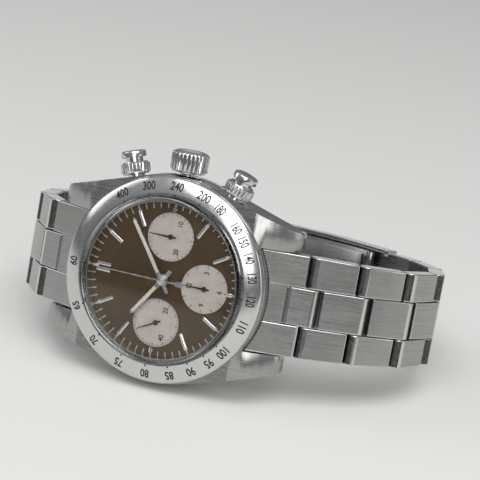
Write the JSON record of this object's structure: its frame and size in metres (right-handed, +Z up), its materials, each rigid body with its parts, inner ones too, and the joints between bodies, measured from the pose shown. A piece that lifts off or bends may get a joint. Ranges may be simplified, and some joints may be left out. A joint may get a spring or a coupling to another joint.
{
  "type": "chronograph wristwatch",
  "caption": "Steel chronograph wristwatch on a closed link bracelet, lying on its side, with turning hands, crown, pushers, hinged links and a folding clasp.",
  "frame": {"origin": "centre of the base of the overall box, on the surface the watch rests on", "axes": "+X towards 6 o'clock along the bracelet, +Y from the dial towards the clasp, +Z up towards the crown"},
  "size_m": [0.081, 0.0622, 0.0434],
  "materials": {
    "brushed_steel": "brushed along the bracelet",
    "polished_steel": "polished stainless steel",
    "crystal": "clear, domed",
    "dial_brown": "satin brown lacquer",
    "counter_cream": "matt cream",
    "black_hands": "black lacquer",
    "train_brass": "gilt",
    "plated_brass": "rhodium-grey plate",
    "gasket": "matt"
  },
  "bodies": {
    "case": {"case_middle": "brushed_steel", "bezel": "polished_steel", "crystal": "crystal", "crystal_ring": "polished_steel", "dial": "dial_brown", "sub_dials": "counter_cream", "hour_markers": "polished_steel", "main_plate": "plated_brass", "train_bridge": "plated_brass", "case_back": "brushed_steel", "case_back_gasket": "gasket", "crown_tube": "polished_steel", "start_pusher_tube": "polished_steel", "reset_pusher_tube": "polished_steel", "start_pusher_spring": "polished_steel", "reset_pusher_spring": "polished_steel", "end_link_6": "brushed_steel", "end_link_12": "brushed_steel", "lug_bar_6": "polished_steel", "lug_bar_12": "polished_steel"},
    "small_seconds": {"small_seconds_hand": "black_hands", "fourth_wheel": "train_brass"},
    "minute_hand_set": {"minute_hand": "polished_steel", "centre_wheel": "train_brass"},
    "hour_hand_set": {"hour_hand": "polished_steel"},
    "third_wheel_set": {"third_wheel": "train_brass"},
    "escape_wheel_set": {"escape_wheel": "train_brass"},
    "barrel_set": {"mainspring_barrel": "train_brass"},
    "balance_set": {"balance_wheel": "train_brass"},
    "chrono_seconds_set": {"chrono_seconds_hand": "polished_steel"},
    "minute_counter_set": {"minute_counter_hand": "black_hands"},
    "hour_counter_set": {"hour_counter_hand": "black_hands"},
    "winding_pinion_set": {"winding_pinion": "polished_steel"},
    "crown_set": {"crown": "polished_steel", "winding_stem": "polished_steel"},
    "start_sleeve": {"start_pusher_sleeve": "polished_steel"},
    "start_button": {"start_pusher_button": "polished_steel"},
    "reset_sleeve": {"reset_pusher_sleeve": "polished_steel"},
    "reset_button": {"reset_pusher_button": "polished_steel"},
    "lug_link_6": {"lug_link_6": "brushed_steel"},
    "link_6_1": {"link_6_1": "brushed_steel"},
    "link_6_2": {"link_6_2": "brushed_steel"},
    "link_6_3": {"link_6_3": "brushed_steel"},
    "link_6_4": {"link_6_4": "brushed_steel"},
    "link_6_5": {"link_6_5": "brushed_steel"},
    "link_6_6": {"link_6_6": "brushed_steel"},
    "cover": {"clasp_cover": "brushed_steel", "clasp_spring_bar": "polished_steel", "cover_hinge_pin": "polished_steel"},
    "outer_blade": {"blade_outer": "brushed_steel", "blade_hinge_pin": "polished_steel"},
    "inner_blade": {"blade_inner": "brushed_steel", "end_spring_bar": "polished_steel"},
    "lug_link_12": {"lug_link_12": "brushed_steel"},
    "link_12_1": {"link_12_1": "brushed_steel"},
    "link_12_2": {"link_12_2": "brushed_steel"},
    "link_12_3": {"link_12_3": "brushed_steel"},
    "link_12_4": {"link_12_4": "brushed_steel"},
    "link_12_5": {"link_12_5": "brushed_steel"},
    "link_12_6": {"link_12_6": "brushed_steel"}
  },
  "joints": [
    {"name": "small_seconds_spin", "type": "hinge", "parent": "case", "child": "small_seconds", "pos_m": [-0.0056, -0.02466, 0.01185], "axis": [0, 0.9763, -0.2162], "continuous": true},
    {"name": "minute_spin", "type": "hinge", "parent": "case", "child": "minute_hand_set", "pos_m": [-0.0056, -0.02293, 0.01966], "axis": [0, 0.9763, -0.2162], "continuous": true},
    {"name": "hour_spin", "type": "hinge", "parent": "case", "child": "hour_hand_set", "pos_m": [-0.0056, -0.02293, 0.01966], "axis": [0, 0.9763, -0.2162], "continuous": true},
    {"name": "third_wheel_spin", "type": "hinge", "parent": "case", "child": "third_wheel_set", "pos_m": [-0.0102, -0.02379, 0.01576], "axis": [0, 0.9763, -0.2162], "continuous": true},
    {"name": "escape_wheel_spin", "type": "hinge", "parent": "case", "child": "escape_wheel_set", "pos_m": [-0.0004, -0.02491, 0.01068], "axis": [0, 0.9763, -0.2162], "continuous": true},
    {"name": "barrel_spin", "type": "hinge", "parent": "case", "child": "barrel_set", "pos_m": [-0.0111, -0.0213, 0.02699], "axis": [0, 0.9763, -0.2162], "continuous": true},
    {"name": "balance_swing", "type": "hinge", "parent": "case", "child": "balance_set", "pos_m": [0.0034, -0.02357, 0.01674], "axis": [0, 0.9763, -0.2162], "range_deg": [-150, 150], "stiffness_Nm_per_rad": 0.0000003},
    {"name": "chrono_seconds_spin", "type": "hinge", "parent": "case", "child": "chrono_seconds_set", "pos_m": [-0.0056, -0.02293, 0.01966], "axis": [0, 0.9763, -0.2162], "continuous": true},
    {"name": "minute_counter_spin", "type": "hinge", "parent": "case", "child": "minute_counter_set", "pos_m": [-0.0056, -0.0212, 0.02747], "axis": [0, 0.9763, -0.2162], "continuous": true},
    {"name": "hour_counter_spin", "type": "hinge", "parent": "case", "child": "hour_counter_set", "pos_m": [0.0024, -0.02293, 0.01966], "axis": [0, 0.9763, -0.2162], "continuous": true},
    {"name": "crown_spin", "type": "hinge", "parent": "case", "child": "winding_pinion_set", "pos_m": [-0.0056, -0.02205, 0.01947], "axis": [0, 0.2162, 0.9763], "continuous": true},
    {"name": "crown_pull", "type": "slide", "parent": "winding_pinion_set", "child": "crown_set", "axis": [0, 0.2162, 0.9763], "range_m": [0, 0.0022]},
    {"name": "start_sleeve_screw", "type": "hinge", "parent": "case", "child": "start_sleeve", "pos_m": [-0.015, -0.01852, 0.03538], "axis": [-0.3256, 0.2045, 0.9231], "range_deg": [0, 360]},
    {"name": "start_push", "type": "slide", "parent": "case", "child": "start_button", "axis": [0.3256, -0.2045, -0.9231], "range_m": [0, 0.0008], "stiffness_N_per_m": 30, "springref_m": -0.02, "deforming": ["start_pusher_spring"]},
    {"name": "reset_sleeve_screw", "type": "hinge", "parent": "case", "child": "reset_sleeve", "pos_m": [0.0038, -0.01852, 0.03538], "axis": [0.3256, 0.2045, 0.9231], "range_deg": [0, 360]},
    {"name": "reset_push", "type": "slide", "parent": "case", "child": "reset_button", "axis": [-0.3256, -0.2045, -0.9231], "range_m": [0, 0.0008], "stiffness_N_per_m": 30, "springref_m": -0.02, "deforming": ["reset_pusher_spring"]},
    {"name": "lug_hinge_6", "type": "hinge", "parent": "case", "child": "lug_link_6", "pos_m": [0.0153, -0.02058, 0.01915], "axis": [0, -0.2162, -0.9763], "range_deg": [0, 8]},
    {"name": "link_6_1_hinge", "type": "hinge", "parent": "lug_link_6", "child": "link_6_1", "pos_m": [0.02085, -0.01893, 0.01878], "axis": [0, -0.2162, -0.9763], "range_deg": [0, 14]},
    {"name": "link_6_2_hinge", "type": "hinge", "parent": "link_6_1", "child": "link_6_2", "pos_m": [0.02905, -0.01485, 0.01788], "axis": [0, -0.2162, -0.9763], "range_deg": [0, 19]},
    {"name": "link_6_3_hinge", "type": "hinge", "parent": "link_6_2", "child": "link_6_3", "pos_m": [0.03588, -0.00884, 0.01654], "axis": [0, -0.2162, -0.9763], "range_deg": [0, 32]},
    {"name": "link_6_4_hinge", "type": "hinge", "parent": "link_6_3", "child": "link_6_4", "pos_m": [0.03903, -0.0004, 0.01467], "axis": [0, -0.2162, -0.9763], "range_deg": [0, 39]},
    {"name": "link_6_5_hinge", "type": "hinge", "parent": "link_6_4", "child": "link_6_5", "pos_m": [0.03665, 0.00828, 0.01275], "axis": [0, -0.2162, -0.9763], "range_deg": [0, 27]},
    {"name": "link_6_6_hinge", "type": "hinge", "parent": "link_6_5", "child": "link_6_6", "pos_m": [0.03099, 0.01536, 0.01119], "axis": [0, -0.2162, -0.9763], "range_deg": [0, 17]},
    {"name": "cover_hinge", "type": "hinge", "parent": "link_6_6", "child": "cover", "pos_m": [0.02384, 0.02101, 0.00993], "axis": [0, -0.2162, -0.9763], "range_deg": [0, 12]},
    {"name": "outer_blade_hinge", "type": "hinge", "parent": "cover", "child": "outer_blade", "pos_m": [-0.01284, 0.02544, 0.00895], "axis": [0, -0.2162, -0.9763], "range_deg": [0, 60]},
    {"name": "inner_blade_hinge", "type": "hinge", "parent": "outer_blade", "child": "inner_blade", "pos_m": [0.02047, 0.02229, 0.00965], "axis": [0, 0.2162, 0.9763], "range_deg": [0, 60]},
    {"name": "lug_hinge_12", "type": "hinge", "parent": "case", "child": "lug_link_12", "pos_m": [-0.0265, -0.02058, 0.01915], "axis": [0, 0.2162, 0.9763], "range_deg": [0, 8]},
    {"name": "link_12_1_hinge", "type": "hinge", "parent": "lug_link_12", "child": "link_12_1", "pos_m": [-0.03171, -0.0181, 0.0186], "axis": [0, 0.2162, 0.9763], "range_deg": [0, 32]},
    {"name": "link_12_2_hinge", "type": "hinge", "parent": "link_12_1", "child": "link_12_2", "pos_m": [-0.03712, -0.01083, 0.01699], "axis": [0, 0.2162, 0.9763], "range_deg": [0, 28]},
    {"name": "link_12_3_hinge", "type": "hinge", "parent": "link_12_2", "child": "link_12_3", "pos_m": [-0.03903, -0.00205, 0.01504], "axis": [0, 0.2162, 0.9763], "range_deg": [0, 26]},
    {"name": "link_12_4_hinge", "type": "hinge", "parent": "link_12_3", "child": "link_12_4", "pos_m": [-0.03743, 0.0068, 0.01308], "axis": [0, 0.2162, 0.9763], "range_deg": [0, 30]},
    {"name": "link_12_5_hinge", "type": "hinge", "parent": "link_12_4", "child": "link_12_5", "pos_m": [-0.03203, 0.01407, 0.01147], "axis": [0, 0.2162, 0.9763], "range_deg": [0, 20]},
    {"name": "link_12_6_hinge", "type": "hinge", "parent": "link_12_5", "child": "link_12_6", "pos_m": [-0.02478, 0.0196, 0.01025], "axis": [0, 0.2162, 0.9763], "range_deg": [0, 12]}
  ],
  "couplings": [
    {"joint": "minute_spin", "follows": "small_seconds_spin", "ratio": 0.016667},
    {"joint": "hour_spin", "follows": "small_seconds_spin", "ratio": 0.0013889},
    {"joint": "third_wheel_spin", "follows": "small_seconds_spin", "ratio": -0.125},
    {"joint": "escape_wheel_spin", "follows": "small_seconds_spin", "ratio": -10},
    {"joint": "barrel_spin", "follows": "small_seconds_spin", "ratio": -0.0020833},
    {"joint": "minute_counter_spin", "follows": "chrono_seconds_spin", "ratio": 0.033333},
    {"joint": "hour_counter_spin", "follows": "chrono_seconds_spin", "ratio": 0.0013889}
  ]
}
